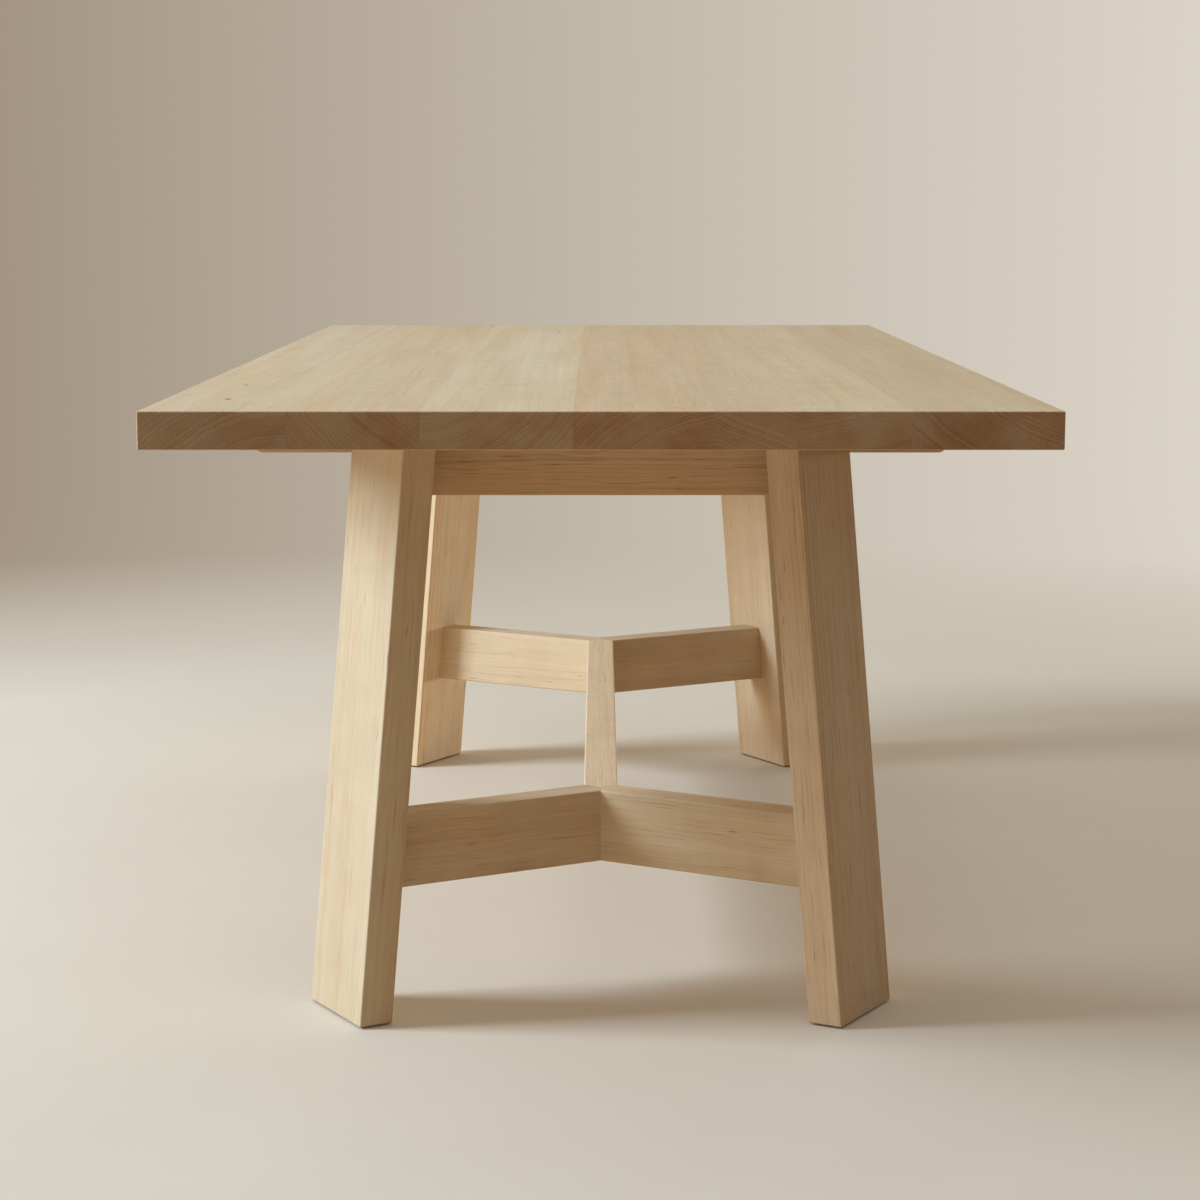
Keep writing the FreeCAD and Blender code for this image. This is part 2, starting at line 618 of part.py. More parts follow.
board_names = ["firstBoard", "secondBoard", "thirdBoard", "fourthBoard", "fifthBoard", "sixthBoard"]
screw_count = int(value("Size.screwCount"))
screw_xs = [f"Size.screwPitch * ({number} - (Size.screwCount - 1) / 2)" for number in range(screw_count)]
pilots = doc.addObject("Part::MultiFuse", "pilot_holes")
pilots.Shapes = [peg(f"pilot_{end}_{number}", "Size.screwRadius + Size.fitClearance",
                     "Size.screwBite + Size.fitClearance",
                     x, signed(sign, "Size.bearerMiddleY"), "Size.legTop")
                 for end, sign in ends.items() for number, x in enumerate(screw_xs, 1)]


def top_board(number, left, right):
    """One board of the top, with its ends eased, and its outer edge too where it is an edge board."""
    body = doc.addObject("PartDesign::Body", f"top_board_{number}_blank")
    low, high = "Size.legTop", "Size.tableHeight"
    sketch = polygon(body, f"top_board_{number}_end", "XZ_Plane", [
        (left, low), (right, low), (right, high), (left, high)])
    blank = pad(body, sketch, "Size.topLength", True)
    rim = value("Size.topWidth") / 2 - hair

    def outer(edge):
        box = edge.BoundBox
        return runs_along(edge, across) or box.XMin > rim or box.XMax < -rim

    ease(body, blank, outer, "Size.topArris")
    return body


left = "-Size.topWidth / 2"
for number in range(1, len(board_names) + 2):
    last = number > len(board_names)
    right = "Size.topWidth / 2" if last else f"{left} + Size.{board_names[number - 1]}"
    cut(f"top_board_{number}", top_board(number, left, right), [pilots])
    left = right

screw_seat = "Size.screwSeatZ - Size.washerThickness"
for end, sign in ends.items():
    screw_spots = [(x, signed(sign, "Size.bearerMiddleY"), screw_seat, 0) for x in screw_xs]
    copies(f"bearer_screws_{end}", top_screw, screw_spots)
    copies(f"bearer_washers_{end}", screw_washer, screw_spots)

bolt_seat = "Size.boltSeatY - Size.washerThickness"
bolt_spots = [(signed(sides[side], "Size.boltX"), signed(ends[end], bolt_seat), "Size.boltZ", ends[end])
              for end, side in corners]
insert_spots = [(x, signed(sign, "Size.bearerFace"), z, sign) for x, _, z, sign in bolt_spots]
copies("leg_bolts", leg_bolt, bolt_spots)
copies("leg_bolt_washers", bolt_washer, bolt_spots)
copies("leg_inserts", leg_insert, insert_spots)
copies("glide_screws", glide_screw, [corner_spot(end, side)[:2] + ("0", 0) for end, side in corners])

doc.recompute()

# Every object has to be sound before any file is written.
for thing in doc.Objects:
    if "Invalid" in thing.State or "Error" in thing.State:
        raise RuntimeError(f"{thing.Label} did not build")
for thing in nodes:
    if thing.Shape.isNull() or not thing.Shape.isValid() or not thing.Shape.Solids:
        raise RuntimeError(f"{thing.Label} is not a sound solid")

os.makedirs("parts", exist_ok=True)
for thing in nodes:
    thing.Shape.exportStep(f"parts/{thing.Label}.step")
    print(f"{thing.Label}: {len(thing.Shape.Solids)} solid, {thing.Shape.Volume / 1000:.1f} cm3")
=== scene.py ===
import math

import bpy
from mathutils import Matrix, Vector


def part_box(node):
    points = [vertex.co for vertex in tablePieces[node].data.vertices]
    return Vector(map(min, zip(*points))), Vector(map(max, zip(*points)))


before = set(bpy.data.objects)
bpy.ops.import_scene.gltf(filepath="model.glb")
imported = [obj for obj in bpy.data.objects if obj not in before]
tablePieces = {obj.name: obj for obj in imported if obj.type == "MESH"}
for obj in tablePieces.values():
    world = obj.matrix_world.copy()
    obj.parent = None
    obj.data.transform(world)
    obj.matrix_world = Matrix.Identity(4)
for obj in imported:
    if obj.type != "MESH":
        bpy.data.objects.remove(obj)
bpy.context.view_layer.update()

scene = bpy.context.scene
scene.view_settings.view_transform = "Standard"
print("table loaded:", len(tablePieces), "pieces")


# camera at the end of the table, a little above the top

viewPoint = {
    "place": (-0.0009, -4.0806, 0.9771),  # metres
    "tiltDown": 8.06,  # degrees below level
    "lens": 83.21,  # millimetres
    "sensor": 36.0,  # millimetres
    "nearest": 0.05,  # metres
}


def placeCamera():
    camera = bpy.data.objects.new("viewCamera", bpy.data.cameras.new("viewCamera"))
    camera.data.sensor_width = viewPoint["sensor"]
    camera.data.lens = viewPoint["lens"]
    camera.data.clip_start = viewPoint["nearest"]
    camera.location = viewPoint["place"]
    camera.rotation_euler = (math.radians(90.0 - viewPoint["tiltDown"]), 0.0, 0.0)
    scene.collection.objects.link(camera)
    scene.camera = camera


placeCamera()
print("camera placed")


# small helpers for the node trees

def addNode(tree, kind, **traits):
    made = tree.nodes.new(kind)
    for name, value in traits.items():
        setattr(made, name, value)
    return made


def feed(tree, socket, value):
    if isinstance(value, bpy.types.NodeSocket):
        tree.links.new(value, socket)
    else:
        socket.default_value = value


def calc(tree, operation, first, second=0.5):
    made = addNode(tree, "ShaderNodeMath", operation=operation)
    feed(tree, made.inputs[0], first)
    feed(tree, made.inputs[1], second)
    return made.outputs[0]


def times(tree, first, *others):
    for other in others:
        first = calc(tree, "MULTIPLY", first, other)
    return first


def vectorCalc(tree, operation, first, second=(0.0, 0.0, 0.0)):
    made = addNode(tree, "ShaderNodeVectorMath", operation=operation)
    feed(tree, made.inputs[0], first)
    feed(tree, made.inputs[1], second)
    return made.outputs["Value"] if operation in ("LENGTH", "DOT_PRODUCT") else made.outputs["Vector"]


def spread(tree, value, low, high, newLow=0.0, newHigh=1.0):
    made = addNode(tree, "ShaderNodeMapRange", clamp=True)
    for socket, number in zip(made.inputs, (value, low, high, newLow, newHigh)):
        feed(tree, socket, number)
    return made.outputs[0]


def mixColour(tree, share, first, second, blend="MIX"):
    made = addNode(tree, "ShaderNodeMix", data_type="RGBA", blend_type=blend)
    feed(tree, made.inputs[0], share)
    feed(tree, made.inputs[6], first)  # 6 and 7 are the mix node's colour inputs
    feed(tree, made.inputs[7], second)
    return made.outputs[2]


def shaded(tree, share, colour, shade):
    darker = mixColour(tree, 1.0, colour, (*shade, 1.0), "MULTIPLY")
    return mixColour(tree, share, colour, darker)


def mixShader(tree, share, first, second):
    made = addNode(tree, "ShaderNodeMixShader")
    feed(tree, made.inputs[0], share)
    feed(tree, made.inputs[1], first)
    feed(tree, made.inputs[2], second)
    return made.outputs[0]


def cloud(tree, spot, cells, detail=2.0, rough=0.5, output="Fac"):
    made = addNode(tree, "ShaderNodeTexNoise")
    feed(tree, made.inputs["Vector"], vectorCalc(tree, "MULTIPLY", spot, cells))
    made.inputs["Scale"].default_value = 1.0
    made.inputs["Detail"].default_value = detail
    made.inputs["Roughness"].default_value = rough
    return made.outputs[output]


def ringNoise(tree, radius, scale):
    made = addNode(tree, "ShaderNodeTexNoise", noise_dimensions="1D")
    feed(tree, made.inputs["W"], radius)
    made.inputs["Scale"].default_value = scale
    made.inputs["Detail"].default_value = 1.0
    return made.outputs["Fac"]


def scatter(tree, spot, cells, rarity, edge):
    made = addNode(tree, "ShaderNodeTexVoronoi")
    feed(tree, made.inputs["Vector"], vectorCalc(tree, "MULTIPLY", spot, cells))
    made.inputs["Scale"].default_value = 1.0
    pick = addNode(tree, "ShaderNodeSeparateColor")
    feed(tree, pick.inputs[0], made.outputs["Color"])
    chosen = calc(tree, "GREATER_THAN", pick.outputs[0], rarity)
    return times(tree, chosen, spread(tree, made.outputs["Distance"], *edge))


def roughen(tree, shader, height, strength, depth):
    bump = addNode(tree, "ShaderNodeBump")
    bump.inputs["Strength"].default_value = strength
    bump.inputs["Distance"].default_value = depth
    feed(tree, bump.inputs["Height"], height)
    feed(tree, shader.inputs["Normal"], bump.outputs["Normal"])


def lookedAt(tree, path):
    direct = calc(tree, "MAXIMUM", path.outputs["Is Camera Ray"], path.outputs["Is Glossy Ray"])
    return calc(tree, "MAXIMUM", direct, path.outputs["Is Transmission Ray"])


def sideways(tree, spot):
    parts = addNode(tree, "ShaderNodeSeparateXYZ")
    feed(tree, parts.inputs[0], spot)
    return parts.outputs[0]


def newFinish(name):
    finish = bpy.data.materials.new(name)
    finish.use_nodes = True
    tree = finish.node_tree
    return finish, tree, tree.nodes["Principled BSDF"]


def wear(node, finish):
    mesh = tablePieces[node].data
    mesh.materials.clear()
    mesh.materials.append(finish)


# maple: one group for every board, with the tree's heart as its axis

maple = {
    "pale": (0.637, 0.558, 0.420),
    "tan": (0.596, 0.500, 0.355),
    "fleck": (0.230, 0.120, 0.055),
    "streak": (0.360, 0.195, 0.095),
    "warmShift": (0.03, -0.035, -0.07),  # what one step of warmth does to the colour
    # shades that the colour is multiplied by
    "blushShade": (1.0, 0.885, 0.77),
    "hairShade": (0.74, 0.57, 0.43),
    "ringShade": (0.74, 0.60, 0.47),
    "cutShade": (0.66, 0.55, 0.46),
    "endShade": (0.565, 0.50, 0.445),
    "stainShade": (0.86, 0.70, 0.59),
    # yearly rings
    "bendCells": (1.3, 5.0, 5.0),  # cells are per metre along, across and into the board
    "bendDepth": 0.034,  # metres
    "waverCells": (9.0, 42.0, 42.0),
    "waverDepth": 0.0060,
    "ringsPerMetre": 185.0,
    "ringWidths": 60.0,  # how often rings get wider and narrower, per metre
    "ringShift": 4.0,  # by how many rings
    "ringLine": (0.34, 0.5),
    "ringStrengths": 190.0,
    "ringFaint": (0.36, 0.64, 0.15, 1.0),
    "closeRings": 2.3,  # finer rings on cut ends, for each yearly one
    "closeLine": (0.2, 0.5, 0.0, 0.6),
    "cutRings": 0.8,
    # fibres, and clouds of tone: cells, detail, roughness, then which range becomes which
    "driftCells": (11.0, 26.0, 26.0),
    "driftDepth": (0.0, 0.009, 0.009),
    "fibreCells": (3.6, 330.0, 330.0),
    "fibreTone": (0.28, 0.72, 0.935, 1.065),
    "fibreGloss": (0.25, 0.75, 0.60, 0.74),
    "bands": ((1.6, 75.0, 75.0), 3.0, 0.55, (0.3, 0.7, -0.038, 0.038)),
    "broad": ((0.8, 10.0, 10.0), 3.0, 0.55, (0.33, 0.68)),
    "curl": ((26.0, 16.0, 16.0), 3.0, 0.5, (0.3, 0.7, -0.03, 0.03)),
    "blush": ((1.1, 24.0, 24.0), 3.0, 0.5, (0.46, 0.72, 0.0, 0.65)),
    "mottle": ((24.0, 32.0, 32.0), 3.0, 0.5, (0.54, 0.74, 0.0, 0.40)),
    "hairs": ((7.0, 430.0, 430.0), 2.0, 0.5, (0.57, 0.72, 0.0, 0.75)),
    "shown": ((1.8, 20.0, 20.0), 3.0, 0.5, (0.36, 0.66, 0.2, 1.0)),
    "pores": ((60.0, 900.0, 900.0), 2.0, 0.7, (0.35, 0.65, 0.86, 1.08)),
    "stain": ((1.0, 15.0, 15.0), 3.0, 0.5, (0.46, 0.66, 0.0, 0.85)),
    # sparse marks: cells, the draw that a cell must beat, then how the mark fades from its middle
    "flecks": ((32.0, 420.0, 420.0), 0.990, (0.12, 0.36, 0.75, 0.0)),
    "knots": ((8.0, 62.0, 62.0), 0.993, (0.06, 0.20, 0.8, 0.0)),
    "veins": ((10.0, 230.0, 230.0), 0.972, (0.08, 0.34, 0.8, 0.0)),
    "pinEdge": (0.45, 1.0, 0.85, 0.0),
    # the surface
    "facing": (0.45, 0.95),  # how squarely a face must look along a direction to count
    "endRoughness": 0.12,
    "ringRelief": 0.35,
    "bumpStrength": 0.35,
    "bumpDepth": 0.0003,  # metres
    "specular": 0.30,
}


def mapleCloud(tree, spot, name):
    cells, detail, rough, shares = maple[name]
    return spread(tree, cloud(tree, spot, cells, detail, rough), *shares)


def makeMapleGroup():
    tree = bpy.data.node_groups.new("mapleGrain", "ShaderNodeTree")
    for name, kind in (("Spot", "Vector"), ("End", "Float"), ("Pale", "Color"), ("Tan", "Color"),
                       ("Rings", "Float"), ("Flecks", "Float"), ("Streaks", "Float"), ("Knots", "Float")):
        tree.interface.new_socket(name, in_out="INPUT", socket_type="NodeSocket" + kind)
    for name, kind in (("Colour", "Color"), ("Roughness", "Float"), ("Height", "Float")):
        tree.interface.new_socket(name, in_out="OUTPUT", socket_type="NodeSocket" + kind)
    given = addNode(tree, "NodeGroupInput").outputs
    result = addNode(tree, "NodeGroupOutput").inputs
    spot = given["Spot"]
    end = given["End"]
    side = calc(tree, "SUBTRACT", 1.0, end)

    # distance from the heart, with the trunk's bends in it
    bend = times(tree, cloud(tree, spot, maple["bendCells"]), maple["bendDepth"])
    waver = times(tree, cloud(tree, spot, maple["waverCells"], detail=3.0), maple["waverDepth"])
    radius = vectorCalc(tree, "LENGTH", vectorCalc(tree, "MULTIPLY", spot, (0.0, 1.0, 1.0)))
    radius = calc(tree, "ADD", calc(tree, "ADD", radius, bend), waver)

    # yearly rings of uneven width, each a thin darker line, some strong and some faint
    halfRing = 0.5
    uneven = times(tree, ringNoise(tree, radius, maple["ringWidths"]), maple["ringShift"])
    count = calc(tree, "ADD", times(tree, radius, maple["ringsPerMetre"]), uneven)
    late = spread(tree, calc(tree, "PINGPONG", count, halfRing), *maple["ringLine"])
    faint = spread(tree, ringNoise(tree, radius, maple["ringStrengths"]), *maple["ringFaint"])
    late = times(tree, late, faint)
    drawn = times(tree, late, mapleCloud(tree, spot, "shown"), given["Rings"], side)

    # cut ends show the finer rings too
    close = calc(tree, "PINGPONG", times(tree, count, maple["closeRings"]), halfRing)
    close = spread(tree, close, *maple["closeLine"])
    cut = times(tree, calc(tree, "MAXIMUM", times(tree, late, maple["cutRings"]), close), end)

    # the grain's small wanderings
    drift = cloud(tree, spot, maple["driftCells"], output="Color")
    strayed = vectorCalc(tree, "ADD", spot, vectorCalc(tree, "MULTIPLY", drift, maple["driftDepth"]))

    # clouds of tone, hair lines, rings, fibres and the faint curl across the grain
    colour = mixColour(tree, mapleCloud(tree, spot, "broad"), given["Pale"], given["Tan"])
    blush = calc(tree, "ADD", mapleCloud(tree, spot, "blush"), mapleCloud(tree, spot, "mottle"))
    colour = shaded(tree, blush, colour, maple["blushShade"])
    hairs = times(tree, mapleCloud(tree, strayed, "hairs"), given["Streaks"])
    colour = shaded(tree, hairs, colour, maple["hairShade"])
    colour = shaded(tree, drawn, colour, maple["ringShade"])
    colour = shaded(tree, cut, colour, maple["cutShade"])
    fibre = cloud(tree, strayed, maple["fibreCells"], detail=4.0, rough=0.62)
    tone = calc(tree, "ADD", spread(tree, fibre, *maple["fibreTone"]), mapleCloud(tree, spot, "curl"))
    tone = calc(tree, "ADD", tone, mapleCloud(tree, strayed, "bands"))
    colour = vectorCalc(tree, "MULTIPLY", colour, tone)

    # sparse dark flecks, small knots and longer brown mineral streaks
    for marks, amount, paint in (("flecks", "Flecks", "fleck"), ("knots", "Knots", "fleck"),
                                 ("veins", "Streaks", "streak")):
        share = times(tree, scatter(tree, strayed, *maple[marks]), given[amount], side)
        colour = mixColour(tree, share, colour, (*maple[paint], 1.0))

    # cut ends soak up more oil: darker, with open pores and reddish patches
    soaked = mixColour(tree, 1.0, colour, (*maple["endShade"], 1.0), "MULTIPLY")
    soaked = vectorCalc(tree, "MULTIPLY", soaked, mapleCloud(tree, spot, "pores"))
    soaked = shaded(tree, mapleCloud(tree, spot, "stain"), soaked, maple["stainShade"])
    feed(tree, result["Colour"], mixColour(tree, end, colour, soaked))

    gloss = spread(tree, fibre, *maple["fibreGloss"])
    feed(tree, result["Roughness"], calc(tree, "ADD", gloss, times(tree, end, maple["endRoughness"])))
    feed(tree, result["Height"], calc(tree, "SUBTRACT", fibre, times(tree, late, maple["ringRelief"])))
    return tree


mapleGroup = makeMapleGroup()
print("maple grain made")


def tint(colour, tone, warmth):
    warmed = [1.0 + shift * warmth for shift in maple["warmShift"]]
    return (*(part * tone * warm for part, warm in zip(colour, warmed)), 1.0)


def squareTo(tree, normal, direction):
    return calc(tree, "ABSOLUTE", vectorCalc(tree, "DOT_PRODUCT", normal, direction))


def mapleFinish(node, along, across, heart, look, knots=0.0, pins=()):
    finish, tree, shader = newFinish(node + "_maple")
    along = along.normalized()
    across = (across - along * across.dot(along)).normalized()
    depth = along.cross(across)
    where = addNode(tree, "ShaderNodeTexCoord").outputs
    mapping = addNode(tree, "ShaderNodeMapping", vector_type="TEXTURE")
    mapping.inputs["Location"].default_value = heart
    mapping.inputs["Rotation"].default_value = Matrix((along, across, depth)).transposed().to_euler()
    feed(tree, mapping.inputs["Vector"], where["Object"])
    grain = addNode(tree, "ShaderNodeGroup", node_tree=mapleGroup)
    end = spread(tree, squareTo(tree, where["Normal"], along), *maple["facing"])
    for socket, value in (
        ("Spot", mapping.outputs["Vector"]),
        ("End", end),
        ("Pale", tint(maple["pale"], look["tone"], look["warmth"])),
        ("Tan", tint(maple["tan"], look["tone"], look["warmth"])),
        ("Rings", look["rings"]),
        ("Flecks", look["flecks"]),
        ("Streaks", look["streaks"]),
        ("Knots", knots),
    ):
        feed(tree, grain.inputs[socket], value)
    # painted light and shade: the broad faces made lighter or darker than the narrow ones, as light falls on
    # them
    broadFaceShading = squareTo(tree, where["Normal"], depth)
    broadFaceShading = spread(tree, broadFaceShading, *maple["facing"], 1.0, look.get("paintedFaceShading", 1.0))
    colour = vectorCalc(tree, "MULTIPLY", grain.outputs["Colour"], broadFaceShading)
    for place, size in pins:
        nearby = vectorCalc(tree, "DIVIDE", vectorCalc(tree, "SUBTRACT", where["Object"], place), size)
        share = spread(tree, vectorCalc(tree, "LENGTH", nearby), *maple["pinEdge"])
        colour = mixColour(tree, share, colour, (*maple["fleck"], 1.0))
    feed(tree, shader.inputs["Base Color"], colour)
    feed(tree, shader.inputs["Roughness"], grain.outputs["Roughness"])
    roughen(tree, shader, grain.outputs["Height"], maple["bumpStrength"], maple["bumpDepth"])
    shader.inputs["Specular IOR Level"].default_value = maple["specular"]
    return finish


# seven boards of the top: a heart is millimetres from the board's left edge and above its middle,
# and the broad faces' factor is painted light and shade, lighter or darker than the narrow ones

topBoards = {
    "patternStep": 2.9,  # metres along the grain from one board's pattern to the next
    "knots": 1.0,
    "pinDepth": 6,  # millimetres
    "boards": {
        "top_board_1": {
            "heart": (181, -220), "tone": 1.0, "warmth": 0.1, "rings": 0.32, "flecks": 1.0, "streaks": 0.14,
            # painted light: this board's upper face and underside lighter than its edges
            "paintedFaceShading": 1.06,
            # dark pin knots: millimetres in from the left and front edges, then width and length
            "pins": ((74, 190, 9, 34), (63, 443, 6, 28)),
        },
        "top_board_2": {
            "heart": (288, 231), "tone": 1.03, "warmth": 0.5, "rings": 0.36, "flecks": 0.8, "streaks": 0.2,
        },
        "top_board_3": {
            "heart": (6, 100), "tone": 1.105, "warmth": -0.25, "rings": 0.3, "flecks": 0.6, "streaks": 0.1,
        },
        "top_board_4": {
            "heart": (185, -200), "tone": 1.015, "warmth": 1.1, "rings": 0.36, "flecks": 0.8, "streaks": 0.25,
        },
        "top_board_5": {
            "heart": (137, 224), "tone": 1.005, "warmth": 1.0, "rings": 0.34, "flecks": 0.6, "streaks": 0.18,
        },
        "top_board_6": {
            "heart": (-46, 440), "tone": 1.04, "warmth": 0.45, "rings": 0.34, "flecks": 0.7, "streaks": 0.18,
        },
        "top_board_7": {
            "heart": (273, 316), "tone": 0.98, "warmth": 0.65, "rings": 0.34, "flecks": 0.7, "streaks": 0.18,
        },
    },
}


def finishTop():
    lengthways = Vector((0, 1, 0))
    leftwards = Vector((-1, 0, 0))
    for number, (node, look) in enumerate(topBoards["boards"].items()):
        low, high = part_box(node)
        side, rise = look["heart"]
        pattern = topBoards["patternStep"] * number
        heart = Vector((low.x + side / 1000, pattern, (low.z + high.z) / 2 + rise / 1000))
        pins = []
        for inward, back, wide, long in look.get("pins", ()):
            place = Vector((low.x + inward / 1000, low.y + back / 1000, high.z))
            pins.append((place, (wide / 2000, long / 2000, topBoards["pinDepth"] / 1000)))
        wear(node, mapleFinish(node, lengthways, leftwards, heart, look, topBoards["knots"], pins))


finishTop()
print("top boards finished")


# legs, arms, rails and stretcher: a heart is millimetres across the broad face and into it,
# from the middle of the piece

basePlanks = {
    "turn": 30.0,  # degrees in plan, from straight across
    "lean": 5.4,  # degrees outwards
    "patternStart": 0.9,  # metres along the grain
    "patternStep": 1.7,  # metres from one plank's pattern to the next
    "firstPattern": {"legs": 0, "arms": 5, "rails": 10, "stretcher": 15},
    # painted light and shade: the tones make the rear legs lighter and the front legs darker, as light falls
    # on them
    "legs": {
        "leg_front_left": {
            "heart": (210, 60), "tone": 0.965, "warmth": -0.5, "rings": 0.45, "flecks": 1.0, "streaks": 0.65,
        },
        "leg_front_right": {
            "heart": (-150, 90), "tone": 0.91, "warmth": 0.8, "rings": 0.95, "flecks": 1.0, "streaks": 1.0,
            # painted shade: this leg's broad faces darker
            "paintedFaceShading": 0.84,
        },
        "leg_rear_left": {
            "heart": (120, -140), "tone": 1.22, "warmth": -0.5, "rings": 0.4, "flecks": 0.8, "streaks": 0.55,
            # painted light: this leg's broad faces lighter
            "paintedFaceShading": 1.04,
        },
        "leg_rear_right": {
            "heart": (-190, -70), "tone": 1.1, "warmth": 0.1, "rings": 0.45, "flecks": 0.8, "streaks": 0.5,
        },
    },
    "arms": {
        "arm_front_left": {
            "heart": (-38, 60), "tone": 1.0, "warmth": 0.3, "rings": 0.7, "flecks": 0.8, "streaks": 0.75,
        },
        "arm_front_right": {
            "heart": (50, -75), "tone": 1.16, "warmth": 0.0, "rings": 0.5, "flecks": 1.2, "streaks": 0.75,
            # painted light and shade: this arm's sides darker than its top and underside
            "paintedFaceShading": 0.915,
        },
        "arm_rear_left": {
            "heart": (70, 80), "tone": 1.11, "warmth": 0.0, "rings": 0.35, "flecks": 0.8, "streaks": 0.35,
        },
        "arm_rear_right": {
            "heart": (-60, 70), "tone": 1.0, "warmth": 0.3, "rings": 0.5, "flecks": 0.8, "streaks": 0.45,
        },
    },
    "rails": {
        "apron_front": {
            "heart": (-90, 60), "tone": 0.99, "warmth": 0.6, "rings": 1.0, "flecks": 1.0, "streaks": 1.1,
        },
        "apron_rear": {
            "heart": (80, 70), "tone": 1.0, "warmth": 0.4, "rings": 1.0, "flecks": 0.8, "streaks": 0.9,
        },
        "bearer_front": {
            "heart": (60, 110), "tone": 0.98, "warmth": 0.2, "rings": 0.38, "flecks": 0.8, "streaks": 0.8,
        },
        "bearer_rear": {
            "heart": (-70, 120), "tone": 0.98, "warmth": 0.2, "rings": 0.38, "flecks": 0.8, "streaks": 0.8,
        },
    },
    "stretcher": {
        "centre_stretcher": {
            "heart": (90, -60), "tone": 1.15, "warmth": 0.0, "rings": 0.45, "flecks": 0.7, "streaks": 0.5,
            # painted light: the stretcher's top and underside lighter than its sides
            "paintedFaceShading": 1.08,
        },
    },
}


def outward(node):
    turn = math.radians(basePlanks["turn"])
    across = -1 if node.endswith("left") else 1
    lengthways = -1 if "front" in node else 1
    return Vector((across * math.cos(turn), lengthways * math.sin(turn), 0))


def plankDirections(kind, node):
    up = Vector((0, 0, 1))
    if kind == "legs":
        out = outward(node)
        along = (up - out * math.tan(math.radians(basePlanks["lean"]))).normalized()
        return along, up.cross(out)
    if kind == "arms":
        return outward(node), up
    if kind == "rails":
        return Vector((1, 0, 0)), up
    return Vector((0, 1, 0)), Vector((-1, 0, 0))


def finishPlank(node, along, across, look, number):
    low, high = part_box(node)
    depth = along.cross(across).normalized()
    side, inward = look["heart"]
    heart = (low + high) / 2 + across * (side / 1000) + depth * (inward / 1000)
    heart = heart + along * (basePlanks["patternStep"] * number + basePlanks["patternStart"])
    wear(node, mapleFinish(node, along, across, heart, look))


def finishBase():
    for kind, first in basePlanks["firstPattern"].items():
        for number, (node, look) in enumerate(basePlanks[kind].items(), first):
            along, across = plankDirections(kind, node)
            finishPlank(node, along, across, look, number)


finishBase()
print("base finished")


# hidden beech pegs, zinc fasteners, brass inserts and nylon glides

smallParts = {
    "beech_pegs": {
        "nodes": ("apron_tenons", "arm_tenons", "hub_tenons", "apron_dowels"),
        "colours": ((0.60, 0.42, 0.27, 1.0), (0.47, 0.31, 0.19, 1.0)),
        "cells": (60.0, 60.0, 12.0),  # per metre
        "roughness": (0.55, 0.70),
        "metallic": 0.0,
        "relief": 0.0002,  # metres
    },
    "zinc_plate": {
        "nodes": ("bearer_screws_front", "bearer_screws_rear", "bearer_washers_front", "bearer_washers_rear",
                  "leg_bolts", "leg_bolt_washers", "glide_screws"),
        "colours": ((0.56, 0.56, 0.55, 1.0), (0.40, 0.40, 0.40, 1.0)),
        "cells": (150.0, 150.0, 150.0),
        "roughness": (0.26, 0.44),
        "metallic": 1.0,
        "relief": 0.0001,
    },
    "plain_brass": {
        "nodes": ("leg_inserts",),
        "colours": ((0.72, 0.55, 0.27, 1.0), (0.55, 0.39, 0.17, 1.0)),
        "cells": (120.0, 120.0, 120.0),
        "roughness": (0.28, 0.46),
        "metallic": 1.0,
        "relief": 0.0001,
    },
    "dark_nylon": {
        "nodes": ("foot_glide_front_left", "foot_glide_front_right", "foot_glide_rear_left",
                  "foot_glide_rear_right"),
        "colours": ((0.060, 0.052, 0.044, 1.0), (0.035, 0.030, 0.026, 1.0)),
        "cells": (90.0, 90.0, 90.0),
        "roughness": (0.48, 0.66),
        "metallic": 0.0,
        "relief": 0.0002,
    },
}

patchEdges = (0.3, 0.7)  # from one patch of a mottled surface to the next


def mottled(name, look):
    finish, tree, shader = newFinish(name)
    finer = 8.0
    fineCells = tuple(finer * part for part in look["cells"])
    spot = addNode(tree, "ShaderNodeTexCoord").outputs["Object"]
    patches = cloud(tree, spot, look["cells"], detail=3.0, rough=0.6)
    fine = cloud(tree, spot, fineCells, detail=2.0, rough=0.6)
    colour = mixColour(tree, spread(tree, patches, *patchEdges), *look["colours"])
    feed(tree, shader.inputs["Base Color"], colour)
    feed(tree, shader.inputs["Roughness"], spread(tree, fine, *patchEdges, *look["roughness"]))
    shader.inputs["Metallic"].default_value = look["metallic"]
    roughen(tree, shader, fine, strength=0.3, depth=look["relief"])
    return finish


def finishSmallParts():
    for name, look in smallParts.items():
        finish = mottled(name, look)
        for node in look["nodes"]:
            wear(node, finish)


finishSmallParts()
print("small parts finished")


# plain floor and a rounded backdrop, seen only from the front of its faces

backdrop = {
    "halfSize": 4.10,  # metres from the middle to the wall
    "corner": 1.6,
    "cornerSteps": 12,
    "cove": 0.30,
    "coveSteps": 8,
    "lift": 0.001,  # metres from the floor to the wall's lower edge
    "height": 9.0,
    "floorHalf": 16.0,
    "floorColour": (0.722, 0.692, 0.624, 1.0),
    "floorShade": (0.697, 0.664, 0.596, 1.0),
    "floorCells": (1.6, 1.6, 1.6),
    "floorRoughness": 0.75,
    "floorSpecular": 0.2,
    "floorBounce": (0.61, 0.417, 0.247, 1.0),  # what the wood gets back from the floor
    "blend": (1.8, 3.9),  # metres over which the floor passes into the wall
    "wallDim": (0.355, 0.285, 0.211, 1.0),
    "wallBright": (0.718, 0.670, 0.580, 1.0),
    "wallFade": (-1.9, 1.9),  # metres from left to right
}


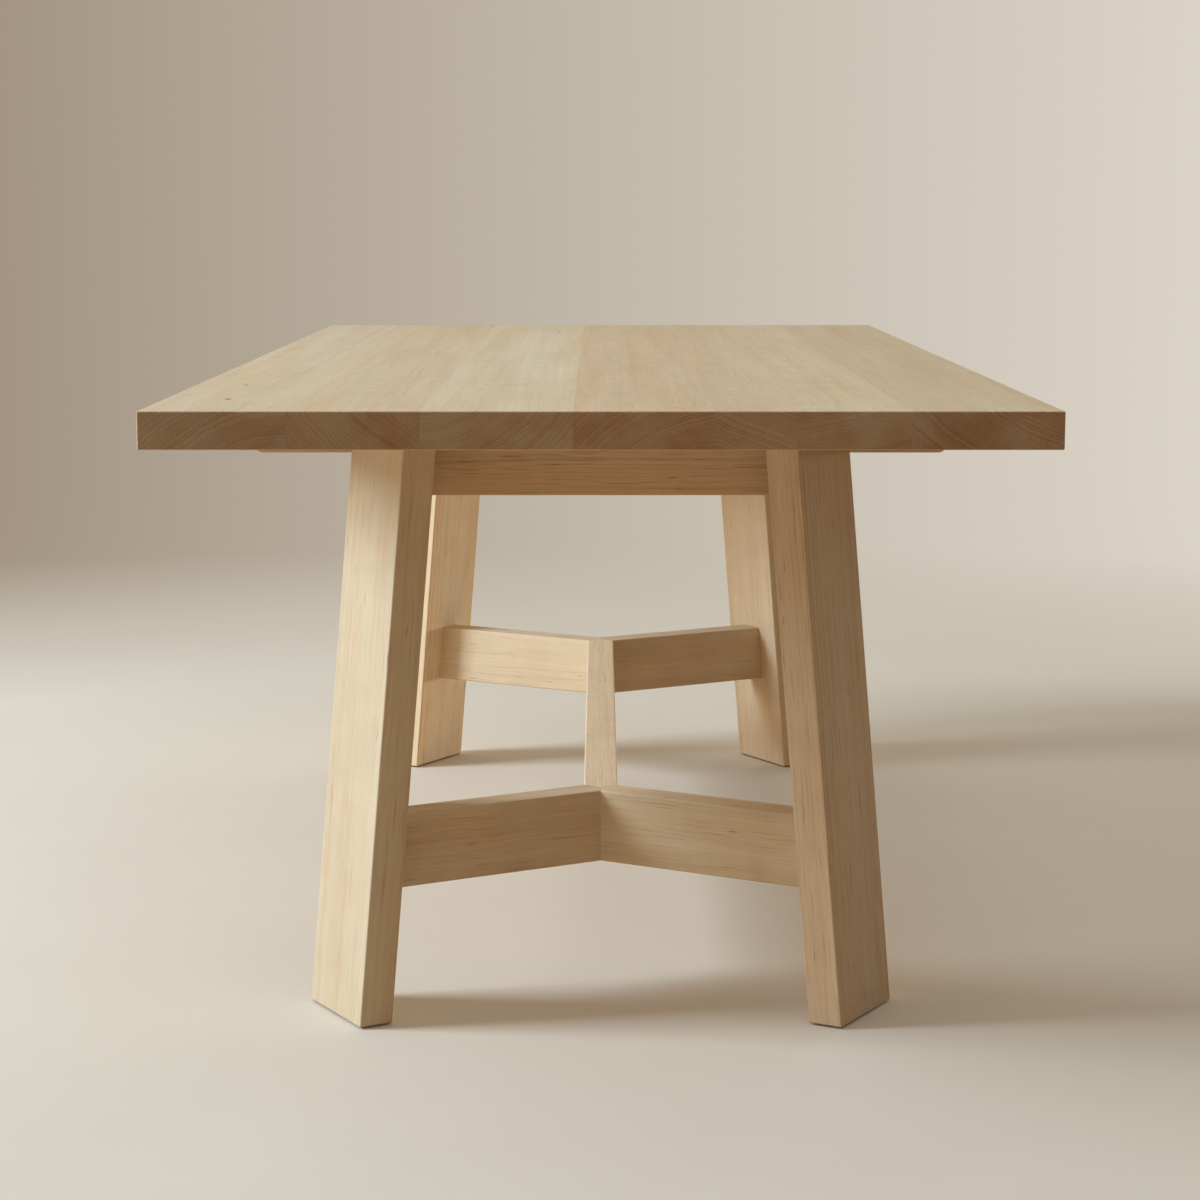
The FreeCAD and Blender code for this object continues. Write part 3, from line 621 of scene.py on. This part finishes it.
def stageMesh(name, points, faces, finish):
    mesh = bpy.data.meshes.new(name)
    mesh.from_pydata(points, [], faces)
    mesh.materials.append(finish)
    made = bpy.data.objects.new(name, mesh)
    scene.collection.objects.link(made)
    return made


def seeThroughBack(tree, front):
    back = addNode(tree, "ShaderNodeNewGeometry").outputs["Backfacing"]
    clear = addNode(tree, "ShaderNodeBsdfTransparent").outputs[0]
    feed(tree, tree.nodes["Material Output"].inputs["Surface"], mixShader(tree, back, front, clear))


def wallGlow(tree, spot):
    across = spread(tree, sideways(tree, spot), *backdrop["wallFade"])
    glow = addNode(tree, "ShaderNodeEmission")
    feed(tree, glow.inputs["Color"], mixColour(tree, across, backdrop["wallDim"], backdrop["wallBright"]))
    return glow.outputs[0]


def makeFloor():
    finish, tree, shader = newFinish("plaster_floor")
    spot = addNode(tree, "ShaderNodeTexCoord").outputs["Object"]
    path = addNode(tree, "ShaderNodeLightPath")
    patches = cloud(tree, spot, backdrop["floorCells"], detail=4.0, rough=0.6)
    patches = spread(tree, patches, *patchEdges)
    colour = mixColour(tree, patches, backdrop["floorColour"], backdrop["floorShade"])
    colour = mixColour(tree, path.outputs["Is Diffuse Ray"], colour, backdrop["floorBounce"])
    feed(tree, shader.inputs["Base Color"], colour)
    shader.inputs["Roughness"].default_value = backdrop["floorRoughness"]
    shader.inputs["Specular IOR Level"].default_value = backdrop["floorSpecular"]
    far = spread(tree, vectorCalc(tree, "LENGTH", spot), *backdrop["blend"])
    far = times(tree, far, lookedAt(tree, path))
    finish.cycles.emission_sampling = "NONE"
    seeThroughBack(tree, mixShader(tree, far, shader.outputs[0], wallGlow(tree, spot)))
    half = backdrop["floorHalf"]
    corners = [(-half, -half, 0), (half, -half, 0), (half, half, 0), (-half, half, 0)]
    stageMesh("plainFloor", corners, [(0, 1, 2, 3)], finish)


def roundedLoop(inset, height):
    radius = backdrop["corner"] - inset
    middle = backdrop["halfSize"] - backdrop["corner"]
    steps = backdrop["cornerSteps"]
    loop = []
    for quarter in range(4):
        x = middle if quarter in (0, 3) else -middle
        y = middle if quarter in (0, 1) else -middle
        for step in range(steps + 1):
            angle = (quarter + step / steps) * math.pi / 2
            loop.append((x + radius * math.cos(angle), y + radius * math.sin(angle), height))
    return loop


def wallLoops():
    cove = backdrop["cove"]
    steps = backdrop["coveSteps"]
    loops = []
    for step in range(steps + 1):
        angle = step / steps * math.pi / 2
        height = backdrop["lift"] + cove * (1 - math.cos(angle))
        loops.append(roundedLoop(cove * (1 - math.sin(angle)), height))
    loops.append(roundedLoop(0, backdrop["height"]))
    return loops


def makeWall():
    finish, tree, shader = newFinish("backdrop_wall")
    spot = addNode(tree, "ShaderNodeTexCoord").outputs["Object"]
    tree.nodes.remove(shader)
    finish.cycles.emission_sampling = "NONE"
    seeThroughBack(tree, wallGlow(tree, spot))
    loops = wallLoops()
    size = len(loops[0])
    points = [point for loop in loops for point in loop]
    faces = []
    for row in range(len(loops) - 1):
        lower = row * size
        upper = lower + size
        for column in range(size):
            following = (column + 1) % size
            faces.append((lower + column, upper + column, upper + following, lower + following))
    wall = stageMesh("backdropWall", points, faces, finish)
    wall.visible_diffuse = False
    wall.visible_shadow = False


makeFloor()
makeWall()
print("floor and backdrop made")


# a large soft lamp from the left, a weak low one beside it, a long low one behind on the right,
# and warm light from above

studioLight = {
    "aim": (0.0, 0.0, 0.45),
    "key": {"size": (2.25, 3.5), "watts": 460.0, "colour": (0.895, 1.0, 1.085)},
    "keyTurn": -8.0,  # degrees towards the front, from straight left
    "keyRise": 27.5,  # degrees above level
    "keyReach": 7.0,  # metres
    "fill": {"size": (5.0, 1.0), "watts": 62.0, "colour": (1.0, 0.93, 0.84)},
    "fillPlace": (-7.0, -3.0, 0.6),
    "rear": {"size": (5.4, 0.5), "watts": 740.0, "colour": (1.0, 0.93, 0.84)},
    "rearPlace": (5.6, 7.9, 0.45),
    "overhead": (0.63, 0.565, 0.47, 1.0),
    "allRound": (0.15, 0.084, 0.040, 1.0),
    "fullAt": 0.55,  # how far up the overhead light is full
    "fromRight": 0.5,  # share of that light left on the right
    "fade": (-0.4, 1.0),  # from where on it gets less, left to right
    "seen": (0.60, 0.55, 0.47, 1.0),
}


def addLamp(name, place, look):
    lamp = bpy.data.lights.new(name, "AREA")
    lamp.shape = "RECTANGLE"
    lamp.size, lamp.size_y = look["size"]
    lamp.energy = look["watts"]
    lamp.color = look["colour"]
    made = bpy.data.objects.new(name, lamp)
    made.location = place
    made.rotation_euler = (Vector(studioLight["aim"]) - Vector(place)).to_track_quat("-Z", "Y").to_euler()
    made.visible_camera = False
    scene.collection.objects.link(made)
    return made


def makeLamps():
    turn = math.radians(studioLight["keyTurn"])
    rise = math.radians(studioLight["keyRise"])
    toKey = Vector((-math.cos(rise) * math.cos(turn), math.cos(rise) * math.sin(turn), math.sin(rise)))
    keyPlace = Vector(studioLight["aim"]) + toKey * studioLight["keyReach"]
    addLamp("keyLamp", keyPlace, studioLight["key"])
    addLamp("fillLamp", studioLight["fillPlace"], studioLight["fill"])
    rear = addLamp("rearLamp", studioLight["rearPlace"], studioLight["rear"])
    rear.visible_glossy = False


def makeWorld():
    world = bpy.data.worlds.new("studioWorld")
    world.use_nodes = True
    scene.world = world
    tree = world.node_tree
    parts = addNode(tree, "ShaderNodeSeparateXYZ")
    feed(tree, parts.inputs[0], addNode(tree, "ShaderNodeTexCoord").outputs["Generated"])
    height = spread(tree, parts.outputs[2], 0.0, studioLight["fullAt"])
    colour = mixColour(tree, height, studioLight["allRound"], studioLight["overhead"])
    fade = spread(tree, parts.outputs[0], *studioLight["fade"], 1.0, studioLight["fromRight"])
    lit = tree.nodes["Background"]
    feed(tree, lit.inputs["Color"], vectorCalc(tree, "MULTIPLY", colour, fade))
    seen = addNode(tree, "ShaderNodeBackground")
    seen.inputs["Color"].default_value = studioLight["seen"]
    direct = lookedAt(tree, addNode(tree, "ShaderNodeLightPath"))
    both = mixShader(tree, direct, lit.outputs[0], seen.outputs[0])
    feed(tree, tree.nodes["World Output"].inputs["Surface"], both)


makeLamps()
makeWorld()
print("light set")
